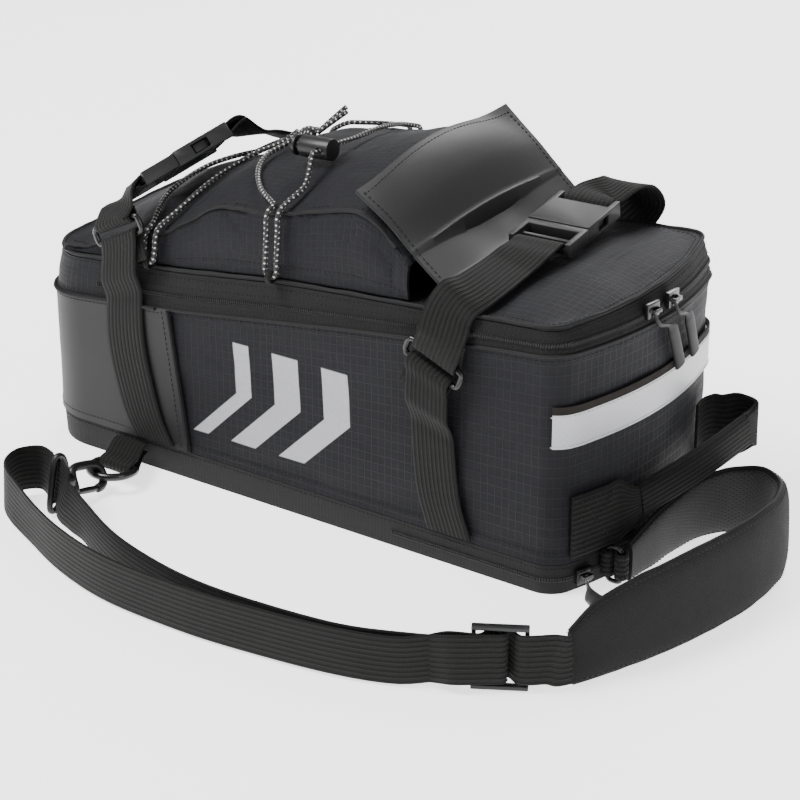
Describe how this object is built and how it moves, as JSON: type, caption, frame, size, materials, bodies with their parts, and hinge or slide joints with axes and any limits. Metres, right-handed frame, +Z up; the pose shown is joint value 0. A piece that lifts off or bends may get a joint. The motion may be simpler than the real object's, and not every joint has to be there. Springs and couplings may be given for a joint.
{
  "type": "bicycle rack bag",
  "caption": "Long zipped rack bag with a flapped top pocket, cinch straps, a bungee with cord lock, a rear handle and a padded shoulder strap.",
  "frame": {"origin": "middle of the flat underside of the bag's body, on the surface that it stands on", "axes": "+X along the bag towards the end with the reflective band and handle, +Z up, -Y the side with the shoulder strap"},
  "size_m": [0.4817, 0.3227, 0.2196],
  "materials": {
    "ripstop": "matt charcoal ripstop cloth with a fine grid",
    "coated_cloth": "smooth coated cloth with a soft satin sheen",
    "webbing": "ribbed dark grey webbing",
    "zip_tape": "woven tape and base cloth, matt black",
    "plastic": "moulded plastic, satin black",
    "reflective": "silver white reflective tape",
    "bungee": "black braid with white flecks",
    "pull_rubber": "moulded rubber, matt",
    "pull_metal": "satin grey metal tab",
    "pad_mesh": "black spacer mesh over foam"
  },
  "bodies": {
    "bag": {"tub_shell": "ripstop", "hinge_panel": "ripstop", "lid_panel": "ripstop", "pocket_shell": "ripstop", "front_cap": "coated_cloth", "pocket_flap": "coated_cloth", "base_pan": "zip_tape", "top_zip_tape": "zip_tape", "reflective_band": "reflective", "front_strap_near_lower": "webbing", "front_strap_near_upper": "webbing", "front_strap_far": "webbing", "rear_strap_near_lower": "webbing", "rear_strap_near_upper": "webbing", "rear_strap_far": "webbing", "bungee_anchor_near_front": "webbing", "bungee_anchor_near_middle": "webbing", "bungee_anchor_far_middle": "webbing", "bungee_anchor_far_front": "webbing", "handle_near": "webbing", "handle_grip": "webbing", "handle_far": "webbing", "front_ring_tab": "webbing", "shoulder_webbing": "webbing", "rear_pad_tape": "webbing", "rear_ring_tab": "webbing", "front_slide_ring": "plastic", "rear_slide_ring": "plastic", "front_buckle_plug": "plastic", "front_buckle_socket": "plastic", "rear_buckle_plug": "plastic", "rear_buckle_socket": "plastic", "cord_lock_barrel": "plastic", "rear_zip_slider": "plastic", "lid_zip_slider": "plastic", "base_zip_slider": "plastic", "front_ring": "plastic", "front_hook_body": "plastic", "front_hook_eye": "plastic", "shoulder_slider": "plastic", "rear_ring": "plastic", "bungee_front": "bungee", "bungee_rear": "bungee", "bungee_knot": "bungee", "bungee_end_1": "bungee", "bungee_end_2": "bungee", "rear_zip_pull": "pull_rubber", "lid_zip_pull": "pull_rubber", "base_zip_pull": "pull_metal", "shoulder_pad": "pad_mesh"},
    "hook_gate": {"front_hook_gate": "plastic"},
    "lock_plunger": {"cord_lock_plunger": "plastic"}
  },
  "joints": [
    {"name": "hook_gate_hinge", "type": "hinge", "parent": "bag", "child": "hook_gate", "pos_m": [-0.09917, -0.15063, 0.00972], "axis": [0.8599, 0.1185, 0.4965], "range_deg": [0, 25], "stiffness_Nm_per_rad": 0.02, "springref_deg": -17.19},
    {"name": "lock_plunger_slide", "type": "slide", "parent": "bag", "child": "lock_plunger", "axis": [0.9982, 0, 0.0599], "range_m": [0, 0.003], "stiffness_N_per_m": 150, "springref_m": -0.004}
  ]
}
